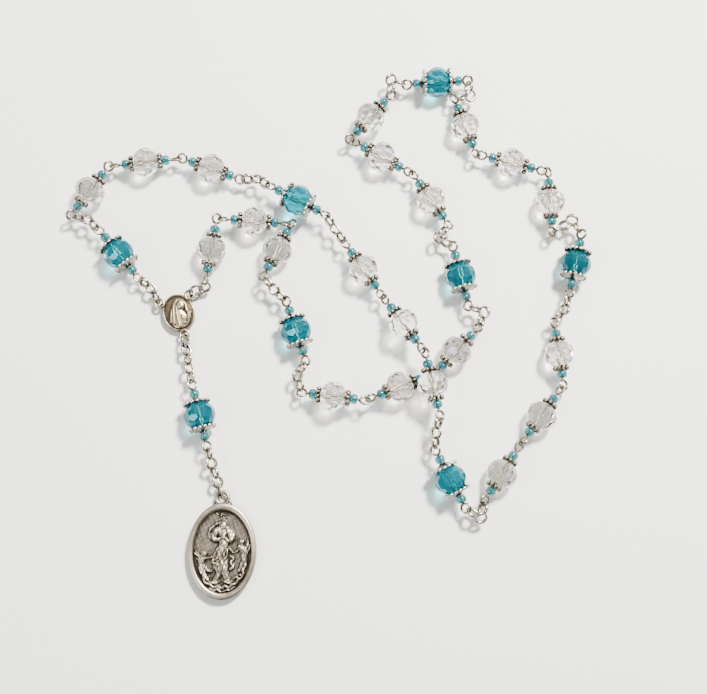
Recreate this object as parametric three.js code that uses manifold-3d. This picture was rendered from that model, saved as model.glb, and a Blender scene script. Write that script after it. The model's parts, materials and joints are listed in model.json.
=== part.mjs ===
// A beaded chaplet rosary laid flat: a loop of bead units and short chains from an oval
// centrepiece, with a pendant chain that ends in an oval medal. Millimetres, +Z up.
import * as THREE from "three";
import { mergeVertices } from "three/addons/utils/BufferGeometryUtils.js";
import Module from "manifold-3d";

const wasm = await Module();
wasm.setup();

// Driving dimensions
const BEAD_RADIUS = 4;
const BEAD_END_RADIUS = 2.5; // of a bead's flat ends
const CLEAR_HALF = 3.2; // half length of a clear bead along its pin
const CLEAR_WAIST = 1.6; // half length of its widest part
const TEAL_HALF = 3.4;
const TEAL_WAIST = 1.7;
const BORE_RADIUS = 0.65; // hole of a teal bead
const PIN_RADIUS = 0.33;
const EYE_RADIUS = 1.25; // centre line of the eye at each end of a pin
const CLEAR_REACH = 8.3; // bead centre to eye centre
const TEAL_REACH = 8.3;
// Small parts on a pin, from a near to a far distance along it
const SPACER = { near: 3.3, far: 4.4, radius: 2.1 };
const CLEAR_SEED = { near: 4.6, far: 6.3, radius: 1.15 };
const TEAL_SEED = { near: 4.9, far: 6.5, radius: 1.15 };
const CAP = { near: 3.9, far: 4.7, radius: 3.5, crown: 2.6, thick: 0.15 };
const LINK_RADIUS = 1.5; // half the length of a chain link's centre line
const LINK_SLIMNESS = 0.86; // a link's width over its length
const LINK_WIRE = 0.25;
const RING_RADIUS = 1.75; // centre line of a jump ring
const RING_WIRE = 0.35;
const MEDAL_RING_RADIUS = 1.6;
const MEDAL_RING_WIRE = 0.3;
const LOOP_RADIUS = 1.15; // the centrepiece's three loops
const LOOP_WIRE = 0.38;
const BAIL_RADIUS = 1.55; // the medal's bail
const BAIL_WIRE = 0.5;
const PLAY = 0.19; // free play between two hooked wires
const FUSE = 0.06; // how far the links of one rigid chain bite into each other
const OPEN_PIVOT_GAP = 0.45; // clearance where the closed loop is opened
const CENTRE_WIDTH = 8.4;
const CENTRE_HEIGHT = 10.1;
const CENTRE_THICK = 2.9;
const CENTRE_AT = [-46.3, 8.9];
const CENTRE_TURN = 17; // degrees that the top leans to the left
const LOOP_LEVEL = 2.1; // height of the centrepiece's loops above the table
const SIDE_LOOP_TURN = 52; // degrees from the top of the centrepiece
const MEDAL_WIDTH = 17.5;
const MEDAL_HEIGHT = 24.5;
const MEDAL_THICK = 2.6;
const MEDAL_RIM = 1.3;
const MEDAL_TURN = 0.5; // degrees
const BAIL_LEVEL = 1.55;
const BAIL_ABOVE_CENTRE = MEDAL_HEIGHT / 2 + 1.25;
const BAIL_DROP = 0.25; // how much closer the medal's ring sits, as its bail lies lower
const WIRE_SIDES = 4;
const RING_STEPS = 8;
const LATHE_STEPS = 8;

// Spacing of hooked rings and of links made in one piece
const hooked = (r1, w1, r2, w2) => r1 + r2 - w1 - w2 - PLAY;
const EYE_TO_LINK = hooked(EYE_RADIUS, PIN_RADIUS, LINK_RADIUS, LINK_WIRE);
const LINK_TO_EYE = EYE_TO_LINK;
const EYE_TO_EYE = hooked(EYE_RADIUS, PIN_RADIUS, EYE_RADIUS, PIN_RADIUS);
const LINK_TO_LINK = 2 * (LINK_RADIUS - LINK_WIRE) + FUSE;
const RING_TO_LINK = hooked(RING_RADIUS, RING_WIRE, LINK_RADIUS, LINK_WIRE);
const LOOP_TO_RING = hooked(LOOP_RADIUS, LOOP_WIRE, RING_RADIUS, RING_WIRE);
const LINK_TO_MEDAL_RING = hooked(MEDAL_RING_RADIUS, MEDAL_RING_WIRE, LINK_RADIUS, LINK_WIRE);
const MEDAL_RING_TO_BAIL =
  hooked(MEDAL_RING_RADIUS, MEDAL_RING_WIRE, BAIL_RADIUS, BAIL_WIRE) - BAIL_DROP;
const OPEN_REACH = LINK_RADIUS + LINK_WIRE + EYE_RADIUS + PIN_RADIUS + OPEN_PIVOT_GAP;

const finish = (color, roughness, metalness) => () =>
  new THREE.MeshStandardMaterial({ color, roughness, metalness });
const crystal = finish(0xdfe8e8, 0.08, 0);
const teal = finish(0x2a93b0, 0.12, 0);
const silver = finish(0xc9cacb, 0.25, 1);
const pewter = finish(0x9b948b, 0.42, 1);
const darkSteel = finish(0x55585c, 0.35, 1);

// A closed geometry as a solid that can be joined or cut.
function solid(geometry) {
  const bare = geometry.index ? geometry.toNonIndexed() : geometry.clone();
  bare.deleteAttribute("normal");
  bare.deleteAttribute("uv");
  const merged = mergeVertices(bare, 1e-4);
  return new wasm.Manifold(
    new wasm.Mesh({
      numProp: 3,
      vertProperties: merged.attributes.position.array,
      triVerts: new Uint32Array(merged.index.array),
    }),
  );
}

function join(geometries) {
  return geometries.map(solid).reduce((whole, next) => whole.add(next));
}

function geometryOf(made) {
  const mesh = made.getMesh();
  const geometry = new THREE.BufferGeometry();
  geometry.setAttribute("position", new THREE.BufferAttribute(mesh.vertProperties, 3));
  geometry.setIndex(new THREE.BufferAttribute(mesh.triVerts, 1));
  return geometry;
}

// A frame at a point, with X along the given direction and Z as near up as it can be.
function frameAt(point, along) {
  const x = along.clone().normalize();
  const y = new THREE.Vector3(0, 0, 1).cross(x).normalize();
  const z = x.clone().cross(y);
  return new THREE.Matrix4().makeBasis(x, y, z).setPosition(point);
}

// A ring lying in its frame's XY plane, or standing in its XZ plane.
function ring(radius, wire, standing, frame, steps = RING_STEPS) {
  const geometry = new THREE.TorusGeometry(radius, wire, WIRE_SIDES, steps);
  if (standing) geometry.rotateX(Math.PI / 2);
  return frame ? geometry.applyMatrix4(frame) : geometry;
}

function link(standing, frame) {
  const geometry = ring(LINK_RADIUS, LINK_WIRE, false).scale(1, LINK_SLIMNESS, 1);
  if (standing) geometry.rotateX(Math.PI / 2);
  return geometry.applyMatrix4(frame);
}

// A turned piece about the X axis from points of [distance along X, radius].
function turned(points, steps = LATHE_STEPS) {
  const profile = points.map(([along, radius]) => new THREE.Vector2(radius, along));
  return new THREE.LatheGeometry(profile, steps).rotateZ(-Math.PI / 2);
}

// A pin turned from the points of one half, which start at its end, and their mirror image.
function mirroredPin(half) {
  const nearEnd = half.map(([along, radius]) => [-along, radius]);
  return turned([...nearEnd, ...half.reverse()]);
}

function eyes(reach, firstStands, lastStands) {
  return [[-reach, firstStands], [reach, lastStands]].map(([along, standing]) =>
    ring(EYE_RADIUS, PIN_RADIUS, standing).translate(along, 0, 0));
}

// Clear bead, two daisy spacers and two seed beads, tight together on one eye pin.
function clearUnit(firstStands, lastStands) {
  const pinEnd = CLEAR_REACH - EYE_RADIUS;
  const pin = mirroredPin([
    [pinEnd, 0], [pinEnd, PIN_RADIUS], [CLEAR_SEED.far + 0.15, PIN_RADIUS],
    [CLEAR_SEED.far, CLEAR_SEED.radius], [CLEAR_SEED.near, CLEAR_SEED.radius],
    [SPACER.far, SPACER.radius], [SPACER.near, SPACER.radius],
    [CLEAR_HALF, BEAD_END_RADIUS], [CLEAR_WAIST, BEAD_RADIUS],
  ]);
  return join([pin, ...eyes(CLEAR_REACH, firstStands, lastStands)]);
}

// The eye pin of a teal bead, with its two bead caps and two seed beads.
function tealPin() {
  const pinEnd = TEAL_REACH - EYE_RADIUS;
  const pin = mirroredPin([
    [pinEnd, 0], [pinEnd, PIN_RADIUS], [TEAL_SEED.far + 0.2, PIN_RADIUS],
    [TEAL_SEED.far, TEAL_SEED.radius], [TEAL_SEED.near, TEAL_SEED.radius],
    [CAP.far, CAP.crown], [CAP.near, CAP.radius], [CAP.near - CAP.thick, PIN_RADIUS],
  ]);
  return join([pin, ...eyes(TEAL_REACH, false, false)]);
}

// The teal glass bead, which turns freely on its pin.
function tealBead() {
  const half = [
    [TEAL_HALF, BORE_RADIUS], [TEAL_HALF, BEAD_END_RADIUS], [TEAL_WAIST, BEAD_RADIUS]];
  const first = half.map(([along, radius]) => [-along, radius]);
  const profile = [...first, ...half.reverse(), first[0]];
  return solid(turned(profile));
}

// An oval turned about Z: the profile's radii are for the width, and the height is stretched.
function ovalPlate(points, width, height, steps) {
  const profile = points.map(([radius, level]) => new THREE.Vector2(radius, level));
  return new THREE.LatheGeometry(profile, steps).rotateX(Math.PI / 2).scale(1, height / width, 1);
}

function ellipsoid(x, y, z, across, tall, deep) {
  return new THREE.SphereGeometry(1, 8, 6).scale(across, tall, deep).translate(x, y, z);
}

// Where a loop sits round the centrepiece, as a turn from its top, in the piece's own frame.
function loopPlace(turn) {
  const angle = THREE.MathUtils.degToRad(90 + turn);
  const outX = CENTRE_WIDTH / 2 + LOOP_RADIUS - 0.1;
  const outY = CENTRE_HEIGHT / 2 + LOOP_RADIUS - 0.1;
  return new THREE.Vector3(outX * Math.cos(angle), outY * Math.sin(angle), LOOP_LEVEL);
}

function centrepiece() {
  const rim = CENTRE_WIDTH / 2;
  const dome = ovalPlate(
    [[0, 0], [rim - 0.4, 0], [rim, 0.5], [rim, 2.1], [rim - 0.8, 2.4], [rim - 1.3, 2.1],
      [0, CENTRE_THICK - 0.6]],
    CENTRE_WIDTH, CENTRE_HEIGHT, 20);
  const veil = ellipsoid(0, 0.9, 2.3, 1.5, 2.0, 0.75);
  const head = ellipsoid(-0.1, 1.1, 2.7, 0.85, 1.15, 0.6);
  const shoulders = ellipsoid(0, -1.9, 2.2, 2.2, 1.6, 0.6);
  const loops = [SIDE_LOOP_TURN, -SIDE_LOOP_TURN, 180].map((turn) => {
    const at = loopPlace(turn);
    return ring(LOOP_RADIUS, LOOP_WIRE, false).translate(at.x, at.y, at.z);
  });
  return join([dome, veil, head, shoulders, ...loops]);
}

// The medal lies on its back, with its bail at the top and a standing figure in its field.
function medal() {
  const edge = MEDAL_WIDTH / 2;
  const floor = 1.5;
  const plate = ovalPlate(
    [[0, 0], [edge - 0.3, 0], [edge, 0.4], [edge, MEDAL_THICK - 0.5],
      [edge - 0.5, MEDAL_THICK], [edge - MEDAL_RIM, MEDAL_THICK - 0.1],
      [edge - MEDAL_RIM - 0.4, floor], [0, floor]],
    MEDAL_WIDTH, MEDAL_HEIGHT, 28);
  const bail = ring(BAIL_RADIUS, BAIL_WIRE, false, null, 12)
    .translate(0, BAIL_ABOVE_CENTRE, BAIL_LEVEL);
  const robe = ellipsoid(0, -2.5, 1.5, 2.3, 5.2, 0.9);
  const figureHead = ellipsoid(0, 3.6, 1.7, 1.0, 1.3, 0.8);
  const cloud = ellipsoid(0, -8.2, 1.5, 3.6, 1.6, 0.7);
  return join([plate, bail, robe, figureHead, cloud]);
}

const HELD = true; // marks a route point that stays where it is drawn

// The strand's route over the table: the bend points of each arm, which are the centres of
// the rings that lie flat, as [x, y, z]. The arms are drawn slack and then pulled to length.
const LEFT_ROUTE = [
  [-53.8, 14.8, 2.7], [-57, 18.3, 3.6], [-67, 29.8, 4.6], [-70.4, 33, 4.4], [-74, 36, 4.1],
  [-64.6, 47.7, 4], [-47, 50.2, 4], [-31.3, 45.4, 4], [-26.4, 45, 4.4], [-22.1, 42.7, 5.2, HELD],
  [-7.5, 34.8, 5.4, HELD], [-5, 32, 5], [-2, 28.6, 4.5], [9, 13, 4.2], [18.5, -2.9, 7.7, HELD],
  [22.2, -19.1, 6.9, HELD], [20.6, -24.6, 5.7], [21, -28.6, 5], [29.4, -43, 4], [31.8, -44.5, 3.9],
  [33.6, -40.5, 4], [43.2, -26, 4], [54, -11, 4], [52.8, 5.2, 4], [55.6, 9.6, 3.9],
  [57, 14, 4], [60.6, 29, 4], [57.5, 33.5, 3.9],
];
const RIGHT_ROUTE = [
  [-38.5, 16.5, 2.7], [-34.6, 33.2, 5.1], [-18.6, 32.2, 3.1], [-22.4, 17.4, 5.2],
  [-20.9, 14.8, 4.5], [-18.5, 12, 4.2], [-12.8, -4.2, 3.9], [-14.2, -8.6, 3.8],
  [-11.8, -12.4, 4], [3, -14, 5.5], [20.4, -7.3, 2.7], [32, 4.6, 5.3], [32.6, 8.2, 4.7],
  [31, 11, 4.2], [26.4, 25, 3.9], [23.6, 29, 3.8], [23.6, 33.5, 4], [15.4, 45.9, 4],
  [3.2, 57, 4.2], [8.5, 67.5, 4.9], [10.5, 71.5, 4.5], [14.4, 72, 4.1], [30.8, 72.6, 4],
  [31.4, 68.8, 3.9], [28.6, 66.4, 4], [35.6, 52.6, 4], [49, 46.8, 4], [53.6, 32, 4],
];
const PENDANT_ROUTE = [
  [-43.6, -2, 2.7], [-43, -6.6, 3.1], [-42, -11.4, 3.9], [-37.4, -27.6, 4.2],
  [-36.4, -32, 3.6], [-34.8, -36, 2.6], [-33.2, -41.2, 2],
];

const mesh = (name, geometry, material) => {
  const made = new THREE.Mesh(geometry, material());
  made.name = name;
  return made;
};

// Pulls each bar of a route to its own length, in plan, and leaves the heights alone. A point
// that is fixed doesn't move, and two arms that share their last bar are pulled as one.
function pullToLength(points, bars) {
  const passes = 4000;
  for (let pass = 0; pass < passes; pass++) {
    for (const { from, to, length } of bars) {
      const a = points[from];
      const b = points[to];
      const flat = Math.sqrt(length ** 2 - (b.z - a.z) ** 2);
      const gap = Math.hypot(b.x - a.x, b.y - a.y);
      const share = (gap - flat) / gap / ((a.fixed ? 0 : 1) + (b.fixed ? 0 : 1) || 1);
      const move = new THREE.Vector3(b.x - a.x, b.y - a.y, 0).multiplyScalar(share);
      if (!a.fixed) a.add(move);
      if (!b.fixed) b.sub(move);
    }
  }
}

// What hangs between two bend points, from the centrepiece outwards. Each element is a bar of
// the strand: a bead unit, or the standing rings that hook two flat rings together.
const clear = (name) => ({ kind: "clear", name, length: 2 * CLEAR_REACH });
const middle = (name) => ({ kind: "middle", name, length: 2 * (CLEAR_REACH + EYE_TO_EYE) });
const tealUnit = (name) => ({ kind: "teal", name, length: 2 * TEAL_REACH });
const chainIn = (name) => ({ kind: "chainIn", name, length: EYE_TO_LINK + LINK_TO_LINK });
const chainOut = (name) => ({ kind: "chainOut", name, length: EYE_TO_LINK + LINK_TO_LINK });
const lastLink = (name) => ({ kind: "lastLink", name, length: LINK_TO_LINK + OPEN_REACH });
const chain = (name) => [chainIn(name), chainOut(name)];
const linkPair = (name) => ({ kind: "link", name, length: 2 * LINK_TO_LINK });
const firstRing = (name, next, turn) => (
  { kind: "ring", name, next, turn, length: LOOP_TO_RING + RING_TO_LINK });
const group = (name, last, first = clear) => {
  const order = last === 3 ? [1, 2, 3] : [3, 2, 1];
  return [first(`${name}_${order[0]}`), middle(`${name}_${order[1]}`), clear(`${name}_${order[2]}`)];
};
const LEFT_ARM = [
  firstRing("jump_ring_left", "chain_01", "lift"),
  chainOut("chain_01"), tealUnit("teal_1"), ...chain("chain_02"), ...group("clear_1", 3),
  ...chain("chain_03"), tealUnit("teal_2"), ...chain("chain_04"), ...group("clear_2", 3),
  ...chain("chain_05"), tealUnit("teal_3"), ...chain("chain_06"), ...group("clear_3", 3),
  ...chain("chain_07"), tealUnit("teal_4"), chainIn("chain_08"), lastLink("chain_08"),
];
const endsStanding = (name) => (
  { kind: "crossed", name, length: 2 * CLEAR_REACH + LINK_TO_EYE });
const RIGHT_ARM = [
  firstRing("jump_ring_right", "chain_09", "lift"),
  ...group("clear_7", 1, endsStanding), ...chain("chain_10"), tealUnit("teal_7"),
  ...chain("chain_11"), ...group("clear_6", 1), ...chain("chain_12"), tealUnit("teal_6"),
  ...chain("chain_13"), ...group("clear_5", 1), ...chain("chain_14"), tealUnit("teal_5"),
  ...chain("chain_15"), ...group("clear_4", 1),
];
const PENDANT_ARM = [
  firstRing("jump_ring_pendant", "chain_16", "swing"), linkPair("chain_16"),
  chainOut("chain_16"), tealUnit("teal_8"), chainIn("chain_17"),
  linkPair("chain_17"),
  {
    kind: "medalRing", name: "jump_ring_medal", next: "medal", turn: "swing",
    length: LINK_TO_MEDAL_RING + MEDAL_RING_TO_BAIL,
  },
];

const routePoint = ([x, y, z, held]) =>
  Object.assign(new THREE.Vector3(x, y, z), { fixed: Boolean(held) });
const centreFrame = new THREE.Matrix4()
  .makeRotationZ(THREE.MathUtils.degToRad(CENTRE_TURN))
  .setPosition(CENTRE_AT[0], CENTRE_AT[1], 0);

// An arm's bend points, the first of them the centre of its loop on the centrepiece.
function armPoints(loopTurn, route) {
  const loop = loopPlace(loopTurn).applyMatrix4(centreFrame);
  loop.fixed = true;
  return [loop, ...route.map(routePoint)];
}

const leftPoints = armPoints(SIDE_LOOP_TURN, LEFT_ROUTE);
const rightPoints = armPoints(-SIDE_LOOP_TURN, RIGHT_ROUTE);
const pendantPoints = armPoints(180, PENDANT_ROUTE);

const barsOf = (arm, offset) =>
  arm.map(({ length }, i) => ({ from: offset + i, to: offset + i + 1, length }));
const loopPoints = [...leftPoints, ...rightPoints];
const leftBars = barsOf(LEFT_ARM, 0);
leftBars.at(-1).to = loopPoints.length - 1;
pullToLength(loopPoints, [...leftBars, ...barsOf(RIGHT_ARM, leftPoints.length)]);
leftPoints.push(rightPoints.at(-1));
pullToLength(pendantPoints, barsOf(PENDANT_ARM, 0));

const rosary = new THREE.Group();
const joints = [];
const UP = new THREE.Vector3(0, 0, 1);

// Where two hooked rings turn on each other. The flat ring's wire is the axis of a lift, and
// the standing ring's wire is the axis of a swing.
function hook(parent, child, flat, flatRadius, standing, standingRadius, kind = "lift") {
  const along = standing.clone().sub(flat).normalize();
  const side = UP.clone().cross(along).normalize();
  const pivot = kind === "lift"
    ? flat.clone().addScaledVector(along, flatRadius)
    : standing.clone().addScaledVector(along, -standingRadius);
  const axis = kind === "lift" ? side : along.clone().cross(side).normalize();
  joints.push({ parent, child, kind, pivot, axis });
}

function placedUnit(name, made, material, from, to) {
  const along = to.clone().sub(from);
  const middlePoint = from.clone().lerp(to, 0.5);
  const unit = mesh(name, geometryOf(made), material);
  unit.applyMatrix4(frameAt(middlePoint, along));
  rosary.add(unit);
  return unit;
}

// Walks an arm outwards and makes its pieces. The links of a chain are gathered until the
// next piece has another name, so that each chain is one rigid piece.
function makeArm(points, arm) {
  let parent = "centrepiece";
  let links = [];
  arm.forEach(({ kind, name, next, turn }, i) => {
    const from = points[i];
    const to = points[i + 1];
    const along = to.clone().sub(from).normalize();
    const onward = points[i + 2] ? points[i + 2].clone().sub(to).normalize() : along;
    const after = arm[i + 1] ? arm[i + 1].name : "";
    const on = (distance) => from.clone().addScaledVector(along, distance);
    const back = (distance) => to.clone().addScaledVector(along, -distance);
    const addLink = (at, direction, standing) =>
      links.push(link(standing, frameAt(at, direction)));
    const addFlatLink = () => addLink(to, along.clone().add(onward), false);
    const addStandingLink = (at) => addLink(at, along, true);

    if (kind === "clear") {
      placedUnit(name, clearUnit(false, false), crystal, from, to);
      parent = name;
    }
    if (kind === "teal") {
      placedUnit(`${name}_pin`, tealPin(), silver, from, to);
      placedUnit(`${name}_bead`, tealBead(), teal, from, to);
      const pivot = from.clone().lerp(to, 0.5);
      const child = `${name}_bead`;
      joints.push({ parent: `${name}_pin`, child, kind: "spin", pivot, axis: along });
      parent = `${name}_pin`;
    }
    if (kind === "crossed") {
      const eye = on(LINK_TO_EYE);
      hook(parent, name, from, LINK_RADIUS, eye, EYE_RADIUS);
      placedUnit(name, clearUnit(true, false), crystal, eye, to);
      parent = name;
    }
    if (kind === "middle") {
      hook(parent, name, from, EYE_RADIUS, on(EYE_TO_EYE), EYE_RADIUS);
      placedUnit(name, clearUnit(true, true), crystal, from, to);
      hook(name, after, to, EYE_RADIUS, back(EYE_TO_EYE), EYE_RADIUS);
    }
    if (kind === "chainIn") {
      hook(parent, name, from, EYE_RADIUS, on(EYE_TO_LINK), LINK_RADIUS);
      addStandingLink(on(EYE_TO_LINK));
      addFlatLink();
      parent = name;
    }
    if (kind === "link") {
      addStandingLink(on(LINK_TO_LINK));
      addFlatLink();
    }
    if (kind === "chainOut") {
      addStandingLink(back(EYE_TO_LINK));
      const unit = after.startsWith("teal") ? `${after}_pin` : after;
      hook(name, unit, to, EYE_RADIUS, back(EYE_TO_LINK), LINK_RADIUS);
    }
    if (kind === "lastLink") {
      addStandingLink(on(LINK_TO_LINK));
    }
    if (kind === "ring" || kind === "medalRing") {
      const first = kind === "ring";
      const radius = first ? RING_RADIUS : MEDAL_RING_RADIUS;
      const wire = first ? RING_WIRE : MEDAL_RING_WIRE;
      const at = on(first ? LOOP_TO_RING : LINK_TO_MEDAL_RING);
      hook(parent, name, from, first ? LOOP_RADIUS : LINK_RADIUS, at, radius);
      const geometry = ring(radius, wire, true, frameAt(at, along), 10);
      rosary.add(mesh(name, geometryOf(solid(geometry)), darkSteel));
      hook(name, next, to, first ? LINK_RADIUS : BAIL_RADIUS, at, radius, turn);
      if (first) addFlatLink();
      parent = next;
    }
    const owner = next ?? name;
    if (links.length && after !== owner) {
      rosary.add(mesh(owner, geometryOf(join(links)), silver));
      links = [];
    }
  });
}

makeArm(leftPoints, LEFT_ARM);
makeArm(rightPoints, RIGHT_ARM);
makeArm(pendantPoints, PENDANT_ARM);

// The medal hangs from the pendant's last bend point by its bail, and lies on its back.
const bailAt = pendantPoints.at(-1);
const medalMesh = mesh("medal", geometryOf(medal()), pewter);
medalMesh.rotation.z = THREE.MathUtils.degToRad(MEDAL_TURN);
medalMesh.position.set(
  bailAt.x + BAIL_ABOVE_CENTRE * Math.sin(medalMesh.rotation.z),
  bailAt.y - BAIL_ABOVE_CENTRE * Math.cos(medalMesh.rotation.z), 0);
rosary.add(medalMesh);

const centre = mesh("centrepiece", geometryOf(centrepiece()), pewter);
centre.applyMatrix4(centreFrame);
rosary.add(centre);

// The origin is the middle of the footprint, on the table.
const box = new THREE.Box3().setFromObject(rosary, true);
rosary.position.set(-(box.min.x + box.max.x) / 2, -(box.min.y + box.max.y) / 2, -box.min.z);
rosary.userData.joints = joints;
export default rosary;
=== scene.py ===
import json
import math

import bmesh
import bpy
import numpy as np
from mathutils import Matrix, Vector

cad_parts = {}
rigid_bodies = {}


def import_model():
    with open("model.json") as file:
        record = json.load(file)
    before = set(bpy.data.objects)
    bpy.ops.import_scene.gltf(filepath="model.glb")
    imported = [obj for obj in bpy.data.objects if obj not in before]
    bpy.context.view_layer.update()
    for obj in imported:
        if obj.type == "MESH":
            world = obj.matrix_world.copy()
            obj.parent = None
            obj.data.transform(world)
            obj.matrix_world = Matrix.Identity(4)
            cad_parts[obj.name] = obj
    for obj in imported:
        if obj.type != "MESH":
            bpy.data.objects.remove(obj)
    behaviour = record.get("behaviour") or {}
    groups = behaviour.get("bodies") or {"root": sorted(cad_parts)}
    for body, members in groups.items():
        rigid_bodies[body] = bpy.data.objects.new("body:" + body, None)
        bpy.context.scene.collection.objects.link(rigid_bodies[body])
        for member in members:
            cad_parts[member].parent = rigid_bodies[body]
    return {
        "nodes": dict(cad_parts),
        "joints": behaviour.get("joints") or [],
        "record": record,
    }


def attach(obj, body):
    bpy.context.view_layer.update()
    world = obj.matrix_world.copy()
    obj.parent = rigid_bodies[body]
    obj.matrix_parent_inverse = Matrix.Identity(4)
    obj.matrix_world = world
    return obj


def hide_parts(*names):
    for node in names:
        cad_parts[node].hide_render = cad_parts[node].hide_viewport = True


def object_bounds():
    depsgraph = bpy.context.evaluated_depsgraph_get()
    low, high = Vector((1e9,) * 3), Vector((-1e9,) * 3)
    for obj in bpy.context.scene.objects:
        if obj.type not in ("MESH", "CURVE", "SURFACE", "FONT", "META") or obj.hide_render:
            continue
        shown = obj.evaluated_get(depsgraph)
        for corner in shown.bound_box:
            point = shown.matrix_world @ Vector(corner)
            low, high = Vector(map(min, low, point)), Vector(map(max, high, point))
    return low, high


# A beaded chaplet rosary. Every bead, cap, spacer, pin and link is made here round the frame.
# Lengths are millimetres until a mesh is written, which is in metres.
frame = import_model()
CAD_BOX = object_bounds()
MM = 0.001

# Sizes shared with the CAD part. Every _WIRE is half a wire's thickness.
CLEAR_REACH = 8.3  # a bead's middle to the middle of its eyes
TEAL_REACH = 8.3
EYE_RADIUS = 1.25  # of the wire's centre line, like every radius of a ring, loop or link
PIN_WIRE = 0.33
LINK_RADIUS = 1.5
CAD_LINK_WIRE = 0.25
RING_RADIUS = 1.75
CAD_RING_WIRE = 0.35
MEDAL_RING_RADIUS = 1.6
MEDAL_RING_WIRE = 0.3
LOOP_RADIUS = 1.15  # the centrepiece's three loops
LOOP_WIRE = 0.38
LOOP_LEVEL = 2.1  # height above the table
SIDE_LOOP_TURN = 52  # degrees from the centrepiece's top
LOOP_INSET = 0.1  # how far a loop runs into the centrepiece's edge
PLAY = 0.19  # free play between two hooked wires
FUSE = 0.06  # how far the CAD's links press into each other, to make one solid
EYE_TO_LINK = EYE_RADIUS + LINK_RADIUS - PIN_WIRE - CAD_LINK_WIRE - PLAY
LINK_TO_LINK = 2 * (LINK_RADIUS - CAD_LINK_WIRE) + FUSE
RING_TO_LINK = RING_RADIUS + LINK_RADIUS - CAD_RING_WIRE - CAD_LINK_WIRE - PLAY
BAR = EYE_TO_LINK + LINK_TO_LINK
CENTRE_SIZE = (8.4, 10.1)
CENTRE_TURN = 17
MEDAL_SIZE = (17.5, 24.5)
MEDAL_TURN = 0.5
BAIL_RADIUS = 1.55
BAIL_WIRE = 0.5
BAIL_LEVEL = 1.55
BAIL_ABOVE_CENTRE = MEDAL_SIZE[1] / 2 + 1.25

# Sizes that only the visual model has
LINK_SLIMNESS = 0.83  # a link's width over its length
LINK_WIRE = 0.50
LINK_END_WIRE = 0.28
RING_WIRE = 0.36
MEDAL_FIELD = 1.45  # how high the medal's sunken ground lies

UP = Vector((0, 0, 1))


# ---------------------------------------------------------------- camera, light and floor
VIEW_TARGET = Vector((6.9, -5.5, 0))  # what the middle of the picture looks at
VIEW_DISTANCE = 300
VIEW_ELEVATION = 80
LENS = 57.6


def look_from(obj, place, target):
    """Puts a camera or a lamp at a place, pointed at the target."""
    obj.location = place * MM
    obj.rotation_euler = (target - place).to_track_quat("-Z", "Y").to_euler()


def make_camera():
    camera = bpy.data.objects.new("camera", bpy.data.cameras.new("camera"))
    camera.data.lens = LENS
    camera.data.sensor_width = 36
    camera.data.clip_start = 0.01
    bpy.context.scene.collection.objects.link(camera)
    tilt = math.radians(VIEW_ELEVATION)
    place = VIEW_TARGET + VIEW_DISTANCE * Vector((0, -math.cos(tilt), math.sin(tilt)))
    look_from(camera, place, VIEW_TARGET)
    bpy.context.scene.camera = camera


KEY_AZIMUTH = 54
KEY_ELEVATION = 55
KEY_SIZE = 130
KEY_POWER = 20.5
FILL_AZIMUTH = 205
FILL_ELEVATION = 48
FILL_SIZE = 260
FILL_POWER = 3.0
LAMP_DISTANCE = 700
SKY_STRENGTH = 1.10
WINDOW_AZIMUTH = KEY_AZIMUTH + 8
WINDOW_ELEVATION = 30
# How bright the room is, from facing well away from the window to facing it
ROOM = [(0.0, 0.10), (0.45, 0.26), (0.66, 0.80), (0.85, 1.0)]


def direction(azimuth, elevation):
    """The way to a place in the room, from degrees round from X and degrees up."""
    turn = math.radians(azimuth)
    rise = math.radians(elevation)
    return Vector((math.cos(turn) * math.cos(rise), math.sin(turn) * math.cos(rise),
                   math.sin(rise)))


def area_light(name, azimuth, elevation, size, power, colour):
    light = bpy.data.lights.new(name, "AREA")
    light.shape = "DISK"
    light.size = size * MM
    light.energy = power
    light.color = colour
    lamp = bpy.data.objects.new(name, light)
    bpy.context.scene.collection.objects.link(lamp)
    place = VIEW_TARGET + direction(azimuth, elevation) * LAMP_DISTANCE
    look_from(lamp, place, VIEW_TARGET)


def window_sky():
    """A dim room with one wide window, so that metal and glass have bright and dark sides."""
    world = bpy.data.worlds.new("room")
    world.use_nodes = True
    tree = world.node_tree
    sky = tree.nodes["Background"]
    sky.inputs["Strength"].default_value = SKY_STRENGTH
    place = tree.nodes.new("ShaderNodeTexCoord")
    toward = tree.nodes.new("ShaderNodeVectorMath")
    toward.operation = "DOT_PRODUCT"
    toward.inputs[1].default_value = direction(WINDOW_AZIMUTH, WINDOW_ELEVATION)
    ramp = tree.nodes.new("ShaderNodeValToRGB")
    ramp.color_ramp.interpolation = "EASE"
    while len(ramp.color_ramp.elements) < len(ROOM):
        ramp.color_ramp.elements.new(0.5)
    for element, (at, level) in zip(ramp.color_ramp.elements, ROOM):
        element.position = at
        element.color = (level, level * 0.995, level * 0.98, 1)
    tree.links.new(place.outputs["Generated"], toward.inputs[0])
    tree.links.new(toward.outputs["Value"], ramp.inputs["Fac"])
    tree.links.new(ramp.outputs["Color"], sky.inputs["Color"])
    bpy.context.scene.world = world


def make_light():
    area_light("key", KEY_AZIMUTH, KEY_ELEVATION, KEY_SIZE, KEY_POWER, (1.0, 0.985, 0.955))
    area_light("fill", FILL_AZIMUTH, FILL_ELEVATION, FILL_SIZE, FILL_POWER, (0.95, 0.97, 1.0))
    window_sky()


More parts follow.
